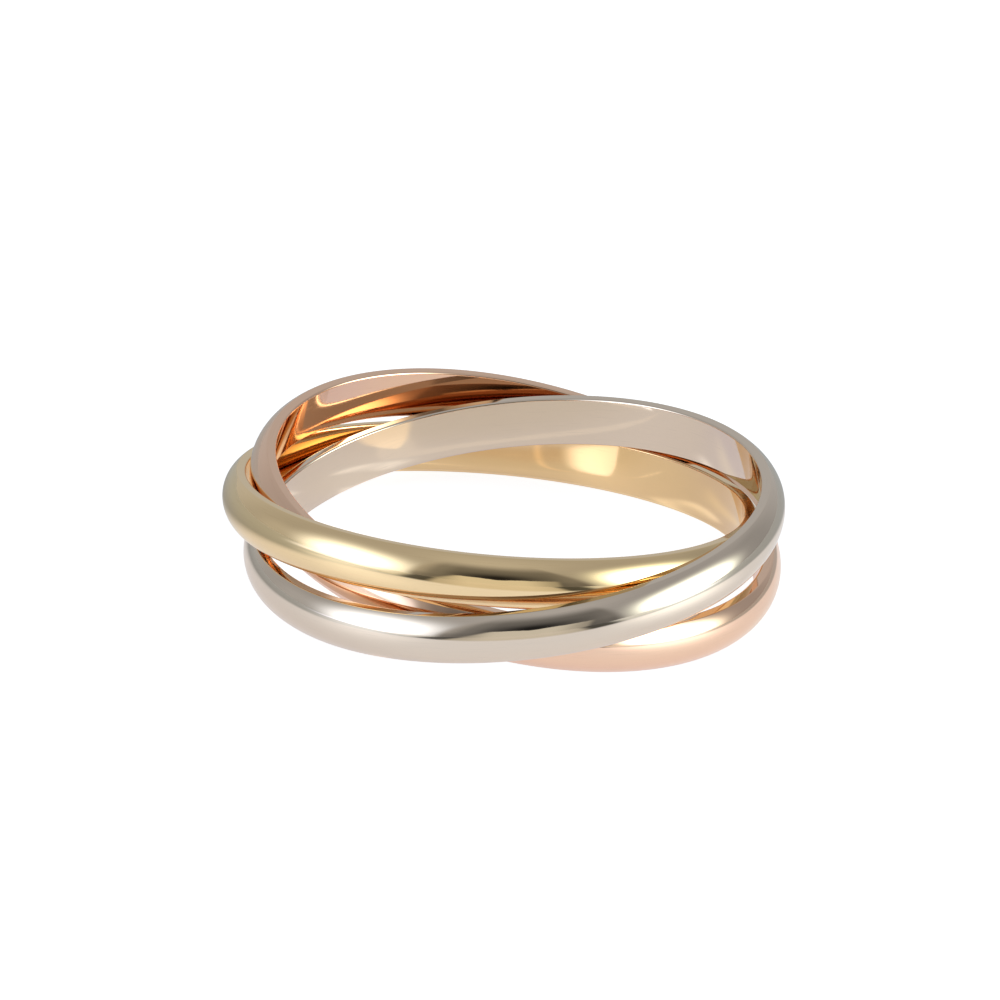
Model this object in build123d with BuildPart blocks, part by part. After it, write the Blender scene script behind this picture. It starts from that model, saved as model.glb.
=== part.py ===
# Rolling ring: three interlocked D-section bands, lying loose on a surface.
# Millimetres. +Z is up, z = 0 is the surface and the origin is under the middle of the ring.
from build123d import *
from collections import namedtuple
from math import cos, radians, sin, sqrt
import os

# One band. All three are turned from the same section.
inner_diameter = 18.0
band_width = 1.8
wall = 0.77
side_height = 0.34
bore_edge_radius = 0.08
side_edge_radius = 0.08

# Free play between the bands, so that each can turn inside the other two.
clearance = 0.08

# How each band lies. Headings are degrees from +X towards +Y: low_heading is where its low side
# points, slip_heading is where its centre has slid to. lean and slip are shares of full_lean and
# full_slip below.
Lie = namedtuple("Lie", "name low_heading lean slip_heading slip")
LIES = [
    Lie("yellow_band", low_heading=88, lean=0.952, slip_heading=178, slip=0.44),
    Lie("white_band", low_heading=176, lean=0.892, slip_heading=-61, slip=1.0),
    Lie("rose_band", low_heading=-10.5, lean=0.76, slip_heading=49.5, slip=0.79),
]

# The section. Its domed outside is one arc between the tops of the two flat sides.
bore_radius = inner_diameter / 2
crown_radius = bore_radius + wall
half_width = band_width / 2
dome_height = wall - side_height
dome_radius = (half_width**2 + dome_height**2) / (2 * dome_height)
dome_centre_radius = crown_radius - dome_radius

# At full lean a band's centre stands one band width higher than it would flat. At full slip it is
# one wall off centre, so that it passes outside its neighbour on one side and inside on the other.
full_lean = (band_width + clearance) / crown_radius
full_slip = wall + clearance

# The rounded lower edge of a side is what touches the surface. foot_radius is the radius, from
# the band's axis, of the circle on which that rounding is centred.
foot_radius = dome_centre_radius + sqrt(
    (dome_radius - side_edge_radius) ** 2 - (half_width - side_edge_radius) ** 2
)


def along(heading):
    """Unit vector in the plane of the surface."""
    return Vector(cos(radians(heading)), sin(radians(heading)), 0)


def band_axis(lie):
    """The band's own axis, tipped from upright towards its low side."""
    tip = lie.lean * full_lean
    return along(lie.low_heading) * tip + Vector(0, 0, sqrt(1 - tip**2))


def centre_height(lie):
    """Height of the band's centre with its low side on the surface."""
    tip = lie.lean * full_lean
    half_rim = (half_width - side_edge_radius) * sqrt(1 - tip**2)
    return foot_radius * tip + half_rim + side_edge_radius


def middle(slips, tips):
    """Middle of the ring's extent along X or Y, from the bands' slips and axis parts that way."""
    reaches = [dome_centre_radius * sqrt(1 - tip**2) + dome_radius for tip in tips]
    highest = max(slip + reach for slip, reach in zip(slips, reaches))
    lowest = min(slip - reach for slip, reach in zip(slips, reaches))
    return (highest + lowest) / 2


slips = [along(lie.slip_heading) * lie.slip * full_slip for lie in LIES]
axes = [band_axis(lie) for lie in LIES]
middle_x = middle([slip.X for slip in slips], [axis.X for axis in axes])
middle_y = middle([slip.Y for slip in slips], [axis.Y for axis in axes])


def make_band(lie, slip, axis):
    """One band: a D section turned about the band's own axis."""
    centre = Vector(slip.X - middle_x, slip.Y - middle_y, centre_height(lie))
    level = along(lie.low_heading + 90)
    section_plane = Plane(origin=centre, x_dir=level, z_dir=level.cross(axis))
    side_radius = bore_radius + side_height
    with BuildPart() as band:
        with BuildSketch(section_plane) as section:
            with BuildLine():
                Polyline(
                    (side_radius, half_width),
                    (bore_radius, half_width),
                    (bore_radius, -half_width),
                    (side_radius, -half_width),
                )
                ThreePointArc((side_radius, -half_width), (crown_radius, 0), (side_radius, half_width))
            make_face()
            fillet(section.vertices().group_by(Axis.X)[0], bore_edge_radius)
            fillet(section.vertices().group_by(Axis.X)[-1], side_edge_radius)
        revolve(axis=Axis(centre, axis))
    return band


os.makedirs("parts", exist_ok=True)

for lie, slip, axis in zip(LIES, slips, axes):
    band = make_band(lie, slip, axis)
    band.part.label = lie.name
    export_step(band.part, f"parts/{lie.name}.step")
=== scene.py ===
from collections import namedtuple
from math import cos, pi, radians, sin, sqrt, tau

import bpy
import numpy as np
from mathutils import Matrix, Vector


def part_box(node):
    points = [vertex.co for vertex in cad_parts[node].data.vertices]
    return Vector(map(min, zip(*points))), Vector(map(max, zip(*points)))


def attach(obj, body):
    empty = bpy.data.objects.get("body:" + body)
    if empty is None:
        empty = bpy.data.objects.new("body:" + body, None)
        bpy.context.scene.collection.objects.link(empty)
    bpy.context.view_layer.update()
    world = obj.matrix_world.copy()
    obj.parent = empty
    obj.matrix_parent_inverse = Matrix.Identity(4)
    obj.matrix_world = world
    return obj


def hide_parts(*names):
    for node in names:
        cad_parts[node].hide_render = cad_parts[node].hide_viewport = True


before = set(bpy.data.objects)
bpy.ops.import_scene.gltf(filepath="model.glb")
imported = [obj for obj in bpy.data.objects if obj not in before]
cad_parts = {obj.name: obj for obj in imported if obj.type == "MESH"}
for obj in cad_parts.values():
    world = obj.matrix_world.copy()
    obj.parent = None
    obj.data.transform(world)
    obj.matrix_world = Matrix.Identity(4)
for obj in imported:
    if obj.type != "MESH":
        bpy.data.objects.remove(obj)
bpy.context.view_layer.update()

# Rolling ring: three linked gold bands, polished, lying loose on a pale sheet in a light tent.
# Everything is in metres in the ring's own frame: +Z up, z = 0 on the sheet.
MM = 0.001
DEGREES = 180 / pi

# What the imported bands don't tell by their extent: the flat sides and the two small roundings.
SIDE_HEIGHT = 0.34 * MM
BORE_EDGE_RADIUS = 0.08 * MM
SIDE_EDGE_RADIUS = 0.08 * MM

# How finely a band is turned.
STEPS_AROUND = 640
STEPS_ON_DOME = 36
STEPS_ON_EDGE = 6

Band = namedtuple("Band", "name node slot alloy")
BANDS = [
    Band("polished_yellow_band", node="yellow_band", slot="yellow_gold", alloy="yellow gold"),
    Band("polished_white_band", node="white_band", slot="white_gold", alloy="white gold"),
    Band("polished_rose_band", node="rose_band", slot="rose_gold", alloy="rose gold"),
]

# The alloys: the shade of the outside and of the bore in plain view, the same two where another
# band mirrors them, and the shade in the hairlines.
Alloy = namedtuple("Alloy", "outside bore deep_outside deep_bore hairline roughness")
ALLOYS = {
    "yellow gold": Alloy(
        outside=(0.95, 0.727, 0.43),
        # The yellow bore colours, plain and deep, are darker than the outside ones: painted shade
        # inside the ring.
        bore=(0.83, 0.61, 0.345),
        deep_outside=(0.95, 0.71, 0.36),
        deep_bore=(0.86, 0.61, 0.31),
        hairline=(0.82, 0.59, 0.32),
        roughness=0.045,
    ),
    "white gold": Alloy(
        outside=(0.77, 0.665, 0.56),
        bore=(0.77, 0.665, 0.56),
        deep_outside=(0.70, 0.455, 0.28),
        deep_bore=(0.76, 0.65, 0.53),
        hairline=(0.66, 0.57, 0.48),
        roughness=0.045,
    ),
    "rose gold": Alloy(
        outside=(0.93, 0.647, 0.48),
        bore=(0.93, 0.647, 0.48),
        deep_outside=(0.93, 0.63, 0.43),
        deep_bore=(0.93, 0.63, 0.43),
        hairline=(0.82, 0.52, 0.37),
        roughness=0.045,
    ),
}
POLISH_MAP = "around_and_across"


# Turning the bands

Measured = namedtuple("Measured", "centre axis bore crown half_width")


def measure(node):
    """Place and section of a packed band, from its own vertices."""
    low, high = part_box(node)
    centre = (low + high) / 2
    points = np.array([v.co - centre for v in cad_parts[node].data.vertices])
    axis = np.linalg.svd(points, full_matrices=False)[2][2]
    axis = axis * np.sign(axis[2])
    heights = points @ axis
    radii = np.linalg.norm(points - heights[:, None] * axis, axis=1)
    return Measured(centre, Vector(axis), radii.min(), radii.max(), heights.max())


def outline(band):
    """The D section, once round: radius from the axis, height along it, and the normal's two parts."""
    dome_height = band.crown - band.bore - SIDE_HEIGHT
    dome_radius = (band.half_width**2 + dome_height**2) / (2 * dome_height)
    dome_centre = band.crown - dome_radius
    side_edge_height = band.half_width - SIDE_EDGE_RADIUS
    side_edge_centre = dome_centre + sqrt(
        (dome_radius - SIDE_EDGE_RADIUS) ** 2 - side_edge_height**2
    )
    dome_end = np.arctan2(side_edge_height, side_edge_centre - dome_centre)
    bore_edge_centre = band.bore + BORE_EDGE_RADIUS
    bore_edge_height = band.half_width - BORE_EDGE_RADIUS
    arcs = [
        (bore_edge_centre, -bore_edge_height, BORE_EDGE_RADIUS, -pi, -pi / 2, STEPS_ON_EDGE),
        (side_edge_centre, -side_edge_height, SIDE_EDGE_RADIUS, -pi / 2, -dome_end, STEPS_ON_EDGE),
        (dome_centre, 0, dome_radius, -dome_end, dome_end, STEPS_ON_DOME),
        (side_edge_centre, side_edge_height, SIDE_EDGE_RADIUS, dome_end, pi / 2, STEPS_ON_EDGE),
        (bore_edge_centre, bore_edge_height, BORE_EDGE_RADIUS, pi / 2, pi, STEPS_ON_EDGE),
    ]
    rows = []
    for radius, height, bend, start, end, steps in arcs:
        for angle in np.linspace(start, end, steps + 1):
            row = (radius + bend * cos(angle), height + bend * sin(angle), cos(angle), sin(angle))
            if not rows or not np.allclose(row, rows[-1], atol=1e-9):
                rows.append(row)
    return np.array(rows)


def turn_band(name, node):
    """A band as a fine turned mesh, and how far across its polish map the bore begins.

    It has the section's own normals and a map in millimetres.
    """
    band = measure(node)
    rows = outline(band)
    count = len(rows)
    level = Vector((0, 0, 1)).cross(band.axis).normalized()
    across = band.axis.cross(level)
    angles = np.linspace(0, tau, STEPS_AROUND, endpoint=False)
    outward = np.cos(angles)[:, None] * np.array(level) + np.sin(angles)[:, None] * np.array(across)
    axis = np.array(band.axis)
    points = (
        np.array(band.centre)
        + rows[None, :, 0, None] * outward[:, None]
        + rows[None, :, 1, None] * axis
    )
    normals = rows[None, :, 2, None] * outward[:, None] + rows[None, :, 3, None] * axis

    faces = []
    corners = []
    strides = np.linalg.norm(np.roll(rows[:, :2], -1, axis=0) - rows[:, :2], axis=1)
    reach = np.concatenate([[0], np.cumsum(strides)]) / MM
    around = tau * band.crown / STEPS_AROUND / MM
    for i in range(STEPS_AROUND):
        after = (i + 1) % STEPS_AROUND
        for j in range(count):
            above = (j + 1) % count
            faces.append(
                (i * count + j, after * count + j, after * count + above, i * count + above)
            )
            low, high = reach[j], reach[j + 1]
            left, right = i * around, (i + 1) * around
            corners += [(left, low), (right, low), (right, high), (left, high)]

    mesh = bpy.data.meshes.new(name)
    mesh.from_pydata(points.reshape(-1, 3).tolist(), [], faces)
    layer = mesh.uv_layers.new(name=POLISH_MAP)
    layer.uv.foreach_set("vector", np.array(corners, np.float32).ravel())
    mesh.polygons.foreach_set("use_smooth", [True] * len(faces))
    mesh.update()
    mesh.normals_split_custom_set_from_vertices(normals.reshape(-1, 3).tolist())
    piece = bpy.data.objects.new(name, mesh)
    bpy.context.scene.collection.objects.link(piece)
    return piece, reach[count - 1]


# Shader wiring. Most of these add nodes to a tree and return the socket that holds the result.

# An eased way from one value to another, while what it follows goes from start to end.
Fade = namedtuple("Fade", "start end before after", defaults=(0.0, 1.0))

# In place of an edge that isn't there.
OPEN = 1000.0
BLACK = (0.0, 0.0, 0.0)


def feed(tree, value, socket):
    """Links a socket to another, or sets its own value."""
    if isinstance(value, bpy.types.NodeSocket):
        tree.links.new(value, socket)
    else:
        socket.default_value = value


def maths(tree, operation, *values):
    """A Math node's result."""
    node = tree.nodes.new("ShaderNodeMath")
    node.operation = operation
    for value, socket in zip(values, node.inputs):
        feed(tree, value, socket)
    return node.outputs[0]


def vector_maths(tree, operation, *values):
    """A Vector Math node's result. The last value of SCALE is its amount."""
    node = tree.nodes.new("ShaderNodeVectorMath")
    node.operation = operation
    sockets = [socket for socket in node.inputs if socket.enabled]
    for value, socket in zip(values, sockets):
        feed(tree, value, socket)
    return next(socket for socket in node.outputs if socket.enabled)


def product(tree, *values):
    """Several values multiplied."""
    result = values[0]
    for value in values[1:]:
        result = maths(tree, "MULTIPLY", result, value)
    return result


def ramp(tree, value, fade):
    """What a fade gives for this value."""
    node = tree.nodes.new("ShaderNodeMapRange")
    node.interpolation_type = "SMOOTHSTEP"
    for given, socket in zip((value, *fade), node.inputs):
        feed(tree, given, socket)
    return node.outputs[0]


def between(tree, value, low, high, edge):
    """1 where the value lies between low and high, and 0 elsewhere, with eased edges."""
    from_low = maths(tree, "SUBTRACT", value, low)
    from_high = maths(tree, "SUBTRACT", high, value)
    return ramp(tree, maths(tree, "MINIMUM", from_low, from_high), Fade(-edge / 2, edge / 2))


def bell(tree, value, middle, spread):
    """1 where the value is at the middle, falling away to both sides like a bell."""
    share = maths(tree, "MULTIPLY_ADD", value, 1 / spread, -middle / spread)
    return maths(tree, "EXPONENT", product(tree, share, share, -1.0))


def blend_colours(tree, amount, below, above):
    """Two colours mixed by amount."""
    node = tree.nodes.new("ShaderNodeMix")
    node.data_type = "RGBA"
    for value, socket in ((amount, node.inputs[0]), (below, node.inputs[6]), (above, node.inputs[7])):
        if isinstance(value, tuple):
            value = (*value, 1.0)
        feed(tree, value, socket)
    return node.outputs[2]


def blend_along(tree, value, first, *stages):
    """The first colour, then each stage's colour as the value passes through its fade."""
    colour = first
    for fade, following in stages:
        colour = blend_colours(tree, ramp(tree, value, fade), colour, following)
    return colour


def lit(tree, light, colour, amount):
    """More light of one colour added to a light."""
    return vector_maths(tree, "ADD", light, vector_maths(tree, "SCALE", colour, amount))


def bearing_of(tree, x, y):
    """Degrees from straight ahead of the ring (-Y) towards +X."""
    ahead = maths(tree, "MULTIPLY", y, -1.0)
    return maths(tree, "MULTIPLY", maths(tree, "ARCTAN2", x, ahead), DEGREES)


def new_group(name, inputs, outputs):
    """An empty shader group with its sockets: {name: (kind, default)} in, {name: kind} out."""
    tree = bpy.data.node_groups.new(name, "ShaderNodeTree")
    for label, (kind, default) in inputs.items():
        socket = tree.interface.new_socket(label, in_out="INPUT", socket_type="NodeSocket" + kind)
        socket.default_value = default
    for label, kind in outputs.items():
        tree.interface.new_socket(label, in_out="OUTPUT", socket_type="NodeSocket" + kind)
    return tree, tree.nodes.new("NodeGroupInput").outputs, tree.nodes.new("NodeGroupOutput").inputs


def place_group(tree, group, **values):
    """The group's outputs, with its inputs set or linked by name."""
    node = tree.nodes.new("ShaderNodeGroup")
    node.node_tree = group
    for label, value in values.items():
        feed(tree, value, node.inputs[label])
    return node.outputs


# Buffing, which all three metals share. Grain lengths are in millimetres on the polish map.

Grain = namedtuple("Grain", "along across detail")
HAIRLINE_GRAIN = Grain(along=2.4, across=0.03, detail=2)
BREAK_GRAIN = Grain(along=0.7, across=0.05, detail=1)
WAVE_GRAIN = Grain(along=3.0, across=0.9, detail=1)
HAIRLINE_CUT = Fade(0.52, 0.74)
BREAK_CUT = Fade(0.35, 0.65)
HAIRLINE_DEPTH = 0.02  # as a share of the waves' height
HAIRLINE_SHADE = 0.35
HAIRLINE_ROUGHNESS = 0.1
WAVE_HEIGHT = 0.002 * MM


def stretched_noise(tree, place, grain):
    """Noise on the polish map with cells of the grain's length and width."""
    noise = tree.nodes.new("ShaderNodeTexNoise")
    noise.inputs["Scale"].default_value = 1.0
    noise.inputs["Detail"].default_value = grain.detail
    cells = (1 / grain.along, 1 / grain.across, 1)
    feed(tree, vector_maths(tree, "MULTIPLY", place, cells), noise.inputs["Vector"])
    return noise.outputs[0]


def make_buffing():
    """Hairlines that a buffing wheel leaves round a band, and the slow waves under them."""
    tree, given, made = new_group(
        "buffing",
        {"Place": ("Vector", (0, 0, 0)), "Hairlines": ("Float", 1.0), "Waves": ("Float", 1.0)},
        {"Lines": "Float", "Height": "Float"},
    )
    fine = ramp(tree, stretched_noise(tree, given["Place"], HAIRLINE_GRAIN), HAIRLINE_CUT)
    short = ramp(tree, stretched_noise(tree, given["Place"], BREAK_GRAIN), BREAK_CUT)
    lines = product(tree, fine, short, given["Hairlines"])
    waves = product(tree, stretched_noise(tree, given["Place"], WAVE_GRAIN), given["Waves"])
    feed(tree, lines, made["Lines"])
    feed(tree, maths(tree, "MULTIPLY_ADD", lines, -HAIRLINE_DEPTH, waves), made["Height"])
    return tree


BUFFING = make_buffing()


# Materials


def polished_gold(name, alloy, bore_from):
    """One alloy, mirror polished. The bore begins at bore_from across the polish map."""
    material = bpy.data.materials.new(name)
    material.use_nodes = True
    tree = material.node_tree
    shader = tree.nodes["Principled BSDF"]
    shader.inputs["Metallic"].default_value = 1.0
    place = tree.nodes.new("ShaderNodeUVMap")
    place.uv_map = POLISH_MAP
    polish = place_group(tree, BUFFING, Place=place.outputs[0], Hairlines=1.0, Waves=1.0)
    # Light that has been round more than one face takes up more of the metal's colour.
    rounds = tree.nodes.new("ShaderNodeLightPath").outputs["Glossy Depth"]
    across = tree.nodes.new("ShaderNodeSeparateXYZ")
    tree.links.new(place.outputs[0], across.inputs[0])
    in_bore = maths(tree, "GREATER_THAN", across.outputs[1], bore_from)
    plain = blend_colours(tree, in_bore, alloy.outside, alloy.bore)
    deep = blend_colours(tree, in_bore, alloy.deep_outside, alloy.deep_bore)
    colour = blend_colours(tree, maths(tree, "MINIMUM", rounds, 1.0), plain, deep)
    lines = maths(tree, "MULTIPLY", polish["Lines"], HAIRLINE_SHADE)
    feed(tree, blend_colours(tree, lines, colour, alloy.hairline), shader.inputs["Base Color"])
    rough = maths(tree, "MULTIPLY_ADD", polish["Lines"], HAIRLINE_ROUGHNESS, alloy.roughness)
    feed(tree, rough, shader.inputs["Roughness"])
    bump = tree.nodes.new("ShaderNodeBump")
    bump.inputs["Strength"].default_value = 1.0
    bump.inputs["Distance"].default_value = WAVE_HEIGHT
    feed(tree, polish["Height"], bump.inputs["Height"])
    feed(tree, bump.outputs[0], shader.inputs["Normal"])
    return material


for band in BANDS:
    piece, bore_from = turn_band(band.name, band.node)
    piece.data.materials.append(polished_gold(band.alloy, ALLOYS[band.alloy], bore_from))
    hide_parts(band.node)
    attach(piece, band.node)


# The light tent: pale cloth all round, a lamp behind it on each side, and its front opening.
# Directions are seen from the ring, in degrees. A bearing is from straight ahead (-Y) towards +X.

# The cloth. It glows behind the ring and overhead towards the front, is darker at the back right,
# and is lighter low down at the left and back left. A patch fades by its elevation.
CLOTH_BRIGHTNESS = 0.365
CLOTH_TINT = (0.985, 1.0, 1.01)
Glow = namedtuple("Glow", "bearing elevation spread gain")
GLOWS = [
    Glow(bearing=0, elevation=66, spread=30.0, gain=0.15),
    Glow(bearing=180, elevation=15, spread=60.0, gain=0.15),
]
Patch = namedtuple("Patch", "bearing spread by_height gain")
PATCHES = [
    Patch(bearing=128.0, spread=17.0, by_height=Fade(44.0, 26.0), gain=-0.08),
    Patch(bearing=-106.0, spread=12.0, by_height=Fade(30.0, 10.0), gain=0.09),
    Patch(bearing=-146.0, spread=14.0, by_height=Fade(30.0, 10.0), gain=0.04),
]

# The lamps behind it. An oval climbs by its slope for each degree of bearing, and the more even it
# is, the sharper its edge.
Lamp = namedtuple("Lamp", "bearing elevation half_width half_height evenness slope colour")
LAMPS = [
    Lamp(
        bearing=-61.3,
        elevation=11.5,
        half_width=24.5,
        half_height=27.0,
        evenness=3.0,
        slope=-0.15,
        colour=(2.25, 2.5, 2.85),
    ),
    Lamp(
        bearing=77.0,
        elevation=12.0,
        half_width=22.3,
        half_height=25.0,
        evenness=3.4,
        slope=0.0,
        colour=(5.1, 5.6, 5.1),
    ),
]

# The slot that the camera looks through: dim, lighter at its two sides, and black round the lens.
SLOT_LEFT = -33.0
SLOT_RIGHT = 44.8
SLOT_RIGHT_SLOPE = -0.2
SLOT_SIDE_EDGE = 6.0
SLOT_TOP = 53.0
SLOT_TOP_EDGE = 26.0
SLOT_TINT = (1.0, 1.0, 0.98)
SLOT_BY_HEIGHT = Fade(4.0, 20.0, 0.12, 0.18)
SLOT_LEFT_LIGHT = Fade(-23.0, -33.0, 0.0, 0.2)
SLOT_LEFT_BY_HEIGHT = Fade(2.0, 18.0, 0.4, 1.0)
SLOT_SIDE_LIGHTS = [Fade(-13.0, -23.0, 0.0, 0.06), Fade(26.0, 38.0, 0.0, 0.05)]
LENS_BEARING = 4.0
LENS_ELEVATION = 21.0
LENS_HALF_WIDTH = 20.0
LENS_HALF_HEIGHT = 13.0
LENS_SHADE = -0.165

# The cream table beyond the slot. Its far edge is uneven and dips in the middle.
TABLE_COLOUR = (0.72, 0.70, 0.61)
TABLE_FADES = [Fade(14.0, 32.0, 1.0, 0.5), Fade(-24.0, -8.0, 0.5, 1.0)]
TABLE_LEFT = -22.5
TABLE_LEFT_SLOPE = 0.5
TABLE_LEFT_EDGE = 5.0
TABLE_RIGHT = 30.5
TABLE_RIGHT_EDGE = 3.5
TABLE_TOP = 16.2
TABLE_TOP_EDGE = 1.6
RIPPLE_HEIGHT = 2.4
RIPPLE_SCALE = 0.3
RIPPLE_DETAIL = 3.0
DIP_BEARING = 4.5
DIP_SPREAD = 5.0
DIP_DEPTH = -3.3


def towards(bearing, elevation):
    """Unit direction from the ring."""
    a, e = radians(bearing), radians(elevation)
    return (sin(a) * cos(e), -cos(a) * cos(e), sin(e))


def glow_round(tree, direction, glow):
    """1 in the glow's own direction, fading all round it like a bell."""
    nearness = vector_maths(
        tree, "DOT_PRODUCT", direction, towards(glow.bearing, glow.elevation)
    )
    nearness = maths(tree, "MINIMUM", maths(tree, "MAXIMUM", nearness, -1.0), 1.0)
    angle = maths(tree, "MULTIPLY", maths(tree, "ARCCOSINE", nearness), DEGREES)
    return bell(tree, angle, 0.0, glow.spread)


def lamp_on_cloth(tree, bearing, elevation, lamp):
    """The patch that a lamp makes: an oval, even in the middle, with a soft edge."""
    level = maths(tree, "COSINE", maths(tree, "MULTIPLY", elevation, 1 / DEGREES))
    off_middle = maths(tree, "SUBTRACT", bearing, lamp.bearing)
    across = maths(tree, "DIVIDE", product(tree, off_middle, level), lamp.half_width)
    up = maths(tree, "SUBTRACT", elevation, lamp.elevation)
    up = maths(tree, "MULTIPLY_ADD", off_middle, -lamp.slope, up)
    up = maths(tree, "DIVIDE", up, lamp.half_height)
    square = maths(tree, "MULTIPLY_ADD", up, up, product(tree, across, across))
    power = maths(tree, "POWER", square, lamp.evenness / 2)
    return maths(tree, "EXPONENT", product(tree, power, -1.0))


def slot_light(tree, bearing, elevation):
    """How bright the slot is."""
    lens = product(
        tree,
        bell(tree, bearing, LENS_BEARING, LENS_HALF_WIDTH),
        bell(tree, elevation, LENS_ELEVATION, LENS_HALF_HEIGHT),
    )
    dim = maths(tree, "MULTIPLY_ADD", lens, LENS_SHADE, ramp(tree, elevation, SLOT_BY_HEIGHT))
    left = ramp(tree, bearing, SLOT_LEFT_LIGHT)
    left_by_height = ramp(tree, elevation, SLOT_LEFT_BY_HEIGHT)
    dim = maths(tree, "MULTIPLY_ADD", left, left_by_height, dim)
    for fade in SLOT_SIDE_LIGHTS:
        dim = maths(tree, "ADD", dim, ramp(tree, bearing, fade))
    return dim


def table_outline(tree, bearing, elevation):
    """1 on the table, 0 elsewhere."""
    ripple = tree.nodes.new("ShaderNodeTexNoise")
    ripple.noise_dimensions = "1D"
    ripple.inputs["Scale"].default_value = RIPPLE_SCALE
    ripple.inputs["Detail"].default_value = RIPPLE_DETAIL
    tree.links.new(bearing, ripple.inputs["W"])
    top = maths(tree, "MULTIPLY_ADD", ripple.outputs[0], RIPPLE_HEIGHT, TABLE_TOP)
    dip = bell(tree, bearing, DIP_BEARING, DIP_SPREAD)
    top = maths(tree, "MULTIPLY_ADD", dip, DIP_DEPTH, top)
    left = maths(tree, "MULTIPLY_ADD", elevation, TABLE_LEFT_SLOPE, TABLE_LEFT)
    return product(
        tree,
        between(tree, bearing, left, OPEN, TABLE_LEFT_EDGE),
        between(tree, bearing, -OPEN, TABLE_RIGHT, TABLE_RIGHT_EDGE),
        between(tree, elevation, -OPEN, top, TABLE_TOP_EDGE),
    )


def pitch_tent():
    """The world's light."""
    world = bpy.data.worlds.new("light tent")
    bpy.context.scene.world = world
    world.use_nodes = True
    tree = world.node_tree
    direction = tree.nodes.new("ShaderNodeTexCoord").outputs["Generated"]
    parts = tree.nodes.new("ShaderNodeSeparateXYZ")
    tree.links.new(direction, parts.inputs[0])
    bearing = bearing_of(tree, parts.outputs[0], parts.outputs[1])
    elevation = maths(tree, "MULTIPLY", maths(tree, "ARCSINE", parts.outputs[2]), DEGREES)

    cloth = CLOTH_BRIGHTNESS
    for glow in GLOWS:
        cloth = maths(tree, "MULTIPLY_ADD", glow_round(tree, direction, glow), glow.gain, cloth)
    for patch in PATCHES:
        sideways = bell(tree, bearing, patch.bearing, patch.spread)
        here = product(tree, sideways, ramp(tree, elevation, patch.by_height))
        cloth = maths(tree, "MULTIPLY_ADD", here, patch.gain, cloth)
    light = vector_maths(tree, "SCALE", CLOTH_TINT, cloth)
    for lamp in LAMPS:
        light = lit(tree, light, lamp.colour, lamp_on_cloth(tree, bearing, elevation, lamp))

    slot_right = maths(tree, "MULTIPLY_ADD", elevation, SLOT_RIGHT_SLOPE, SLOT_RIGHT)
    slot = product(
        tree,
        between(tree, bearing, SLOT_LEFT, slot_right, SLOT_SIDE_EDGE),
        between(tree, elevation, -OPEN, SLOT_TOP, SLOT_TOP_EDGE),
    )
    dim = vector_maths(tree, "SCALE", SLOT_TINT, slot_light(tree, bearing, elevation))
    light = blend_colours(tree, slot, light, dim)

    fades = product(tree, *[ramp(tree, bearing, fade) for fade in TABLE_FADES])
    cream = vector_maths(tree, "SCALE", TABLE_COLOUR, fades)
    light = blend_colours(tree, table_outline(tree, bearing, elevation), light, cream)
    tree.links.new(light, tree.nodes["Background"].inputs["Color"])


pitch_tent()


# The sheet that the ring lies on: its glow is painted light, brightest in front of the ring and inside
# it. Its glow is given as the metal mirrors it. Places and lengths on it are in millimetres.

SHEET_HALF_SIZE = 1500 * MM
SHEET_COLOUR = (0.43, 0.45, 0.49)
SHEET_ROUGHNESS = 0.5
SHEET_SPECULAR = 0.25
# Its glow as the camera sees it, which lifts it to white.
SHEET_LIFT = (0.84, 0.84, 0.84)

# The painted pool of light, off to the front and right, and the spots of painted light in it that are
# brighter.
DIM_SHEET = (0.12, 0.12, 0.10)
Pool = namedtuple("Pool", "place fade colour")
LIT_POOL = Pool(place=(5.0, -9.0), fade=Fade(22.7, 17.7), colour=(0.565, 0.555, 0.56))
BRIGHT_SPOTS = [
    Pool(place=(18.0, -10.5), fade=Fade(11.0, 2.0), colour=(0.40, 0.42, 0.43)),
    Pool(place=(-10.0, -12.0), fade=Fade(6.0, 1.0), colour=(0.13, 0.13, 0.13)),
    Pool(place=(-20.0, -15.0), fade=Fade(10.0, 2.0), colour=(0.42, 0.44, 0.46)),
]

# Past a painted front edge, the sheet's glow paints a picture of what lies beyond it: the room, the
# slot's dark sides in it, and the cream table between them. A span is its two bearings and the width
# of its edges.
FRONT_EDGE = Fade(-19.0, -25.0)
ROOM_COLOUR = (0.66, 0.68, 0.66)
SLOT_SIDE_COLOUR = (0.035, 0.035, 0.03)
SLOT_SPAN = (-32.0, 40.0, 7.0)
CREAM_SPAN = (-21.0, 27.0, 5.0)
CREAM_LEFT = (0.46, 0.44, 0.38)
CREAM_MIDDLE = (0.68, 0.65, 0.565)
CREAM_RIGHT = (0.50, 0.48, 0.42)
CREAM_TO_MIDDLE = Fade(-24.0, -5.0)
CREAM_TO_RIGHT = Fade(14.0, 30.0)

# Painted reflections of the lamps: their own images farther out.
LampImage = namedtuple("LampImage", "span by_distance colour")
LAMP_IMAGES = [
    LampImage(span=(-80.0, -43.0, 18.0), by_distance=Fade(24.0, 52.0), colour=(0.9, 1.0, 1.3)),
    LampImage(span=(60.0, 84.0, 14.0), by_distance=Fade(26.0, 48.0), colour=(0.8, 0.9, 1.1)),
]

# Inside the ring, painted warm light that the gold throws on the sheet, more so towards the front.
INSIDE_MIDDLE = (0.3, 0.0)
INSIDE_EDGE = Fade(10.0, 8.4)
WARM_FRONT = (0.45, 0.36, 0.26)
WARM_MIDDLE = (0.49, 0.44, 0.37)
WARM_BACK = (0.56, 0.52, 0.49)
WARM_RIM = (0.53, 0.50, 0.54)
WARM_TO_MIDDLE = Fade(-1.5, 2.0)
WARM_TO_BACK = Fade(2.0, 5.5)
WARM_TO_RIM = Fade(6.0, 8.0)

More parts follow.
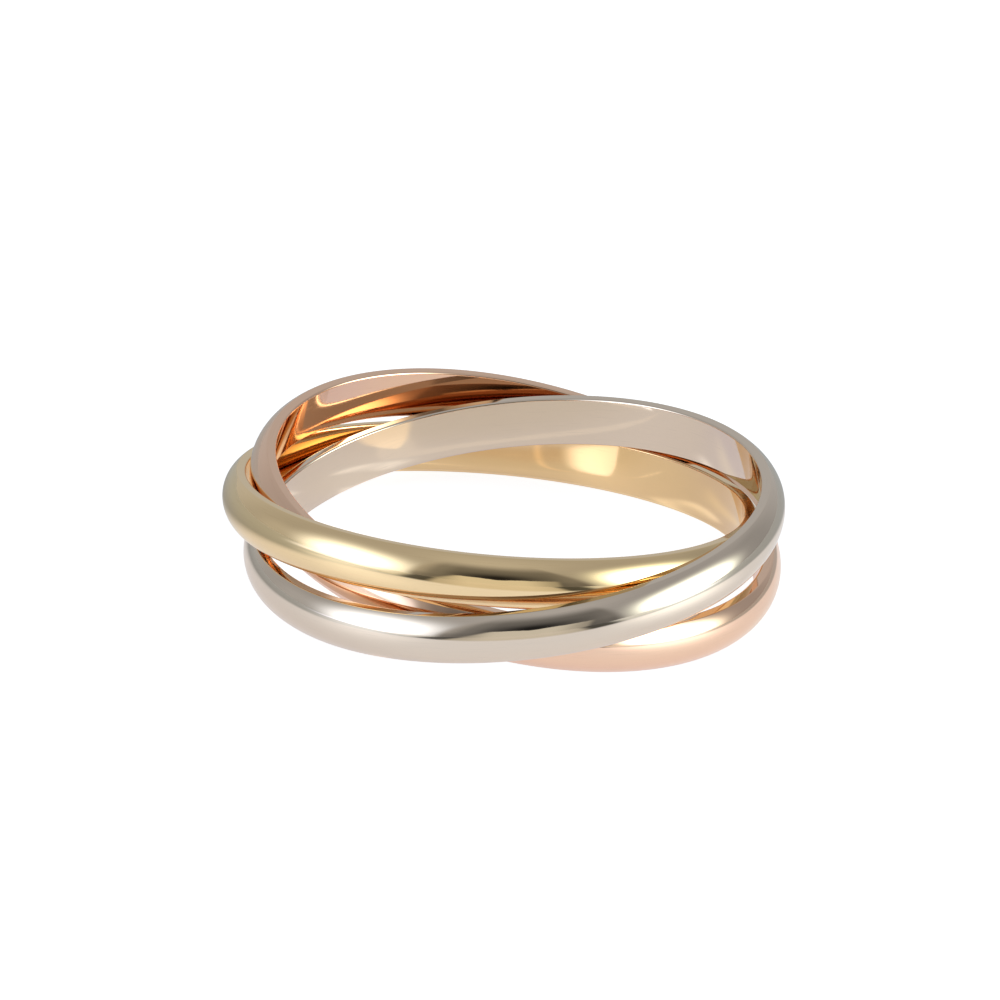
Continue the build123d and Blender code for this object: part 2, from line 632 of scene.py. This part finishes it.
# Light that the bores throw inside the ring. A fan spreads from its apex, with fades by the heading
# from there, in degrees from +X towards +Y, and it ends by its distance from reach_from.
Fan = namedtuple("Fan", "apex headings reach_from reach colour")
FANS = [
    Fan(
        apex=(-0.5, 4.6),
        headings=[
            Fade(-148.5, -146.5, 0.0, 0.72),
            Fade(-147.0, -130.0, 1.0, 1.35),
            Fade(-127.0, -115.0, 1.0, 0.0),
        ],
        reach_from=(0.0, 0.0),
        reach=Fade(8.0, 6.2),
        colour=(0.85, 0.92, 1.0),
    ),
    Fan(
        apex=(0.7, 4.1),
        headings=[Fade(-47.0, -41.0), Fade(-5.0, 8.0, 1.0, 0.0)],
        reach_from=(0.7, 4.1),
        reach=Fade(7.0, 4.0),
        colour=(0.37, 0.265, 0.11),
    ),
    Fan(
        apex=(-0.47, 4.9),
        headings=[Fade(-20.0, -25.0), Fade(-42.5, -39.0)],
        reach_from=(-0.47, 4.9),
        reach=Fade(3.6, 2.2),
        colour=(0.10, 0.09, 0.07),
    ),
]

# A ray beside the first fan.
Ray = namedtuple("Ray", "apex heading spread colour")
RAY = Ray(apex=(-0.5, 4.6), heading=-106.0, spread=1.8, colour=(0.26, 0.19, 0.11))

# Thin arcs of painted light, each cut off by fades across the ring or from front to back, and a corner
# of painted light at the back left, which has only the fades. The first arc's circle also shows
# faintly in front.
Arc = namedtuple("Arc", "middle radius spread by_x by_y colour")
ARCS = [
    Arc(
        middle=(-2.8, 1.25),
        radius=4.35,
        spread=0.085,
        by_x=[Fade(-0.4, -0.9), Fade(-1.9, -1.3)],
        by_y=[],
        colour=(0.30, 0.31, 0.30),
    ),
    Arc(
        middle=(3.2, 2.0),
        radius=4.13,
        spread=0.1,
        by_x=[Fade(2.2, 3.4)],
        by_y=[Fade(5.5, 5.9)],
        colour=(0.36, 0.37, 0.36),
    ),
]
CORNER_BY_X = Fade(-3.4, -4.0)
CORNER_BY_Y = Fade(5.3, 5.6)
CORNER_COLOUR = (0.30, 0.31, 0.30)

# A broad slanting streak of painted light at the back right.
STREAK_SLOPE = 0.23
STREAK_PLACE = 7.55
STREAK_SPREAD = 0.28
STREAK_BY_X = Fade(0.8, 3.5)
STREAK_COLOUR = (0.13, 0.12, 0.05)


def offset(tree, spot, place):
    """How far the spot is from a fixed place, along X and along Y."""
    return [maths(tree, "SUBTRACT", part, fixed) for part, fixed in zip(spot, place)]


def away(tree, spot, place):
    """The spot's distance from a fixed place."""
    across, along = offset(tree, spot, place)
    square = maths(tree, "MULTIPLY_ADD", along, along, product(tree, across, across))
    return maths(tree, "SQRT", square)


def heading(tree, spot, apex):
    """The spot's heading from an apex, in degrees from +X towards +Y."""
    across, along = offset(tree, spot, apex)
    return maths(tree, "MULTIPLY", maths(tree, "ARCTAN2", along, across), DEGREES)


def thrown_light(tree, spot, inside, pool):
    """The pool with the fans, the ray, the arcs and the streak that the bores throw into it."""
    x, y = spot

    def add(colour, *amounts):
        return lit(tree, pool, colour, product(tree, *amounts, inside))

    for fan in FANS:
        turn = heading(tree, spot, fan.apex)
        spread = [ramp(tree, turn, fade) for fade in fan.headings]
        pool = add(fan.colour, *spread, ramp(tree, away(tree, spot, fan.reach_from), fan.reach))
    pool = add(RAY.colour, bell(tree, heading(tree, spot, RAY.apex), RAY.heading, RAY.spread))
    for arc in ARCS:
        line = bell(tree, away(tree, spot, arc.middle), arc.radius, arc.spread)
        cuts = [ramp(tree, x, fade) for fade in arc.by_x] + [ramp(tree, y, fade) for fade in arc.by_y]
        pool = add(arc.colour, line, *cuts)
    pool = add(CORNER_COLOUR, ramp(tree, x, CORNER_BY_X), ramp(tree, y, CORNER_BY_Y))
    slant = maths(tree, "MULTIPLY_ADD", x, STREAK_SLOPE, y)
    streak = bell(tree, slant, STREAK_PLACE, STREAK_SPREAD)
    return add(STREAK_COLOUR, streak, ramp(tree, x, STREAK_BY_X))


def pool_of_light(tree, spot):
    """The sheet's painted light, its own glow as the metal mirrors it, and a mask of what is past its
    painted front edge.
    """
    x, y = spot
    bearing = bearing_of(tree, x, y)
    distance = away(tree, spot, (0.0, 0.0))
    in_pool = ramp(tree, away(tree, spot, LIT_POOL.place), LIT_POOL.fade)
    pool = blend_colours(tree, in_pool, DIM_SHEET, LIT_POOL.colour)
    for bright in BRIGHT_SPOTS:
        pool = lit(tree, pool, bright.colour, ramp(tree, away(tree, spot, bright.place), bright.fade))

    cream = blend_along(
        tree, bearing, CREAM_LEFT, (CREAM_TO_MIDDLE, CREAM_MIDDLE), (CREAM_TO_RIGHT, CREAM_RIGHT)
    )
    past = blend_colours(tree, between(tree, bearing, *SLOT_SPAN), ROOM_COLOUR, SLOT_SIDE_COLOUR)
    past = blend_colours(tree, between(tree, bearing, *CREAM_SPAN), past, cream)
    beyond = ramp(tree, y, FRONT_EDGE)
    pool = blend_colours(tree, beyond, pool, past)
    for image in LAMP_IMAGES:
        far_out = ramp(tree, distance, image.by_distance)
        amount = product(tree, between(tree, bearing, *image.span), far_out)
        pool = lit(tree, pool, image.colour, amount)

    inside = ramp(tree, away(tree, spot, INSIDE_MIDDLE), INSIDE_EDGE)
    warmth = blend_along(
        tree, y, WARM_FRONT, (WARM_TO_MIDDLE, WARM_MIDDLE), (WARM_TO_BACK, WARM_BACK)
    )
    warmth = blend_colours(tree, ramp(tree, distance, WARM_TO_RIM), warmth, WARM_RIM)
    pool = blend_colours(tree, inside, pool, warmth)
    return thrown_light(tree, spot, inside, pool), beyond


def finish_sheet(tree, shader, colour, glow):
    """A matt sheet's colour and its own glow."""
    shader.inputs["Roughness"].default_value = SHEET_ROUGHNESS
    shader.inputs["Specular IOR Level"].default_value = SHEET_SPECULAR
    shader.inputs["Emission Strength"].default_value = 1.0
    feed(tree, colour, shader.inputs["Base Color"])
    feed(tree, glow, shader.inputs["Emission Color"])


def sheet_material():
    """The pale sheet: plain where the camera sees it, with its pool of light where metal does."""
    material = bpy.data.materials.new("pale sheet")
    material.use_nodes = True
    tree = material.node_tree
    place = tree.nodes.new("ShaderNodeTexCoord").outputs["Object"]
    parts = tree.nodes.new("ShaderNodeSeparateXYZ")
    tree.links.new(place, parts.inputs[0])
    spot = [maths(tree, "MULTIPLY", part, 1 / MM) for part in parts.outputs[:2]]
    pool, beyond = pool_of_light(tree, spot)
    mirrored = tree.nodes["Principled BSDF"]
    finish_sheet(tree, mirrored, blend_colours(tree, beyond, SHEET_COLOUR, BLACK), pool)
    plain = tree.nodes.new("ShaderNodeBsdfPrincipled")
    finish_sheet(tree, plain, (*SHEET_COLOUR, 1.0), (*SHEET_LIFT, 1.0))
    seen = tree.nodes.new("ShaderNodeLightPath").outputs["Is Camera Ray"]
    either = tree.nodes.new("ShaderNodeMixShader")
    for value, socket in zip((seen, mirrored.outputs[0], plain.outputs[0]), either.inputs):
        tree.links.new(value, socket)
    tree.links.new(either.outputs[0], tree.nodes["Material Output"].inputs["Surface"])
    return material


def lay_sheet():
    """A broad plain sheet under the ring."""
    half = SHEET_HALF_SIZE
    corners = [(-half, -half, 0), (half, -half, 0), (half, half, 0), (-half, half, 0)]
    mesh = bpy.data.meshes.new("sheet")
    mesh.from_pydata(corners, [], [(0, 1, 2, 3)])
    mesh.materials.append(sheet_material())
    sheet = bpy.data.objects.new("sheet", mesh)
    bpy.context.scene.collection.objects.link(sheet)


lay_sheet()


# The camera, at the photograph's angle

CAMERA_ELEVATION = radians(25.52)
CAMERA_ROLL = radians(4.64)
CAMERA_DISTANCE = 600 * MM
CAMERA_AIM = Vector((-0.163, 0.044, 3.213)) * MM
LENS_IN_MM = 601.4
SENSOR_IN_MM = 36.0
NEAREST_SEEN = 50 * MM
FARTHEST_SEEN = 10000 * MM


def set_camera():
    """A long lens, rolled a little as the photograph is."""
    forward = Vector((0, cos(CAMERA_ELEVATION), -sin(CAMERA_ELEVATION)))
    up = Vector((0, sin(CAMERA_ELEVATION), cos(CAMERA_ELEVATION)))
    right = Vector((1, 0, 0))
    rolled_right = right * cos(CAMERA_ROLL) + up * sin(CAMERA_ROLL)
    rolled_up = up * cos(CAMERA_ROLL) - right * sin(CAMERA_ROLL)
    data = bpy.data.cameras.new("camera")
    data.lens = LENS_IN_MM
    data.sensor_width = SENSOR_IN_MM
    data.clip_start = NEAREST_SEEN
    data.clip_end = FARTHEST_SEEN
    camera = bpy.data.objects.new("camera", data)
    bpy.context.scene.collection.objects.link(camera)
    turn = Matrix((rolled_right, rolled_up, -forward)).transposed().to_4x4()
    camera.matrix_world = Matrix.Translation(CAMERA_AIM - forward * CAMERA_DISTANCE) @ turn
    bpy.context.scene.camera = camera


set_camera()
bpy.context.scene.view_settings.view_transform = "Standard"

# Enough for what the bands mirror in one another.
bpy.context.scene.cycles.max_bounces = 8
bpy.context.scene.cycles.glossy_bounces = 7
bpy.context.scene.cycles.diffuse_bounces = 1
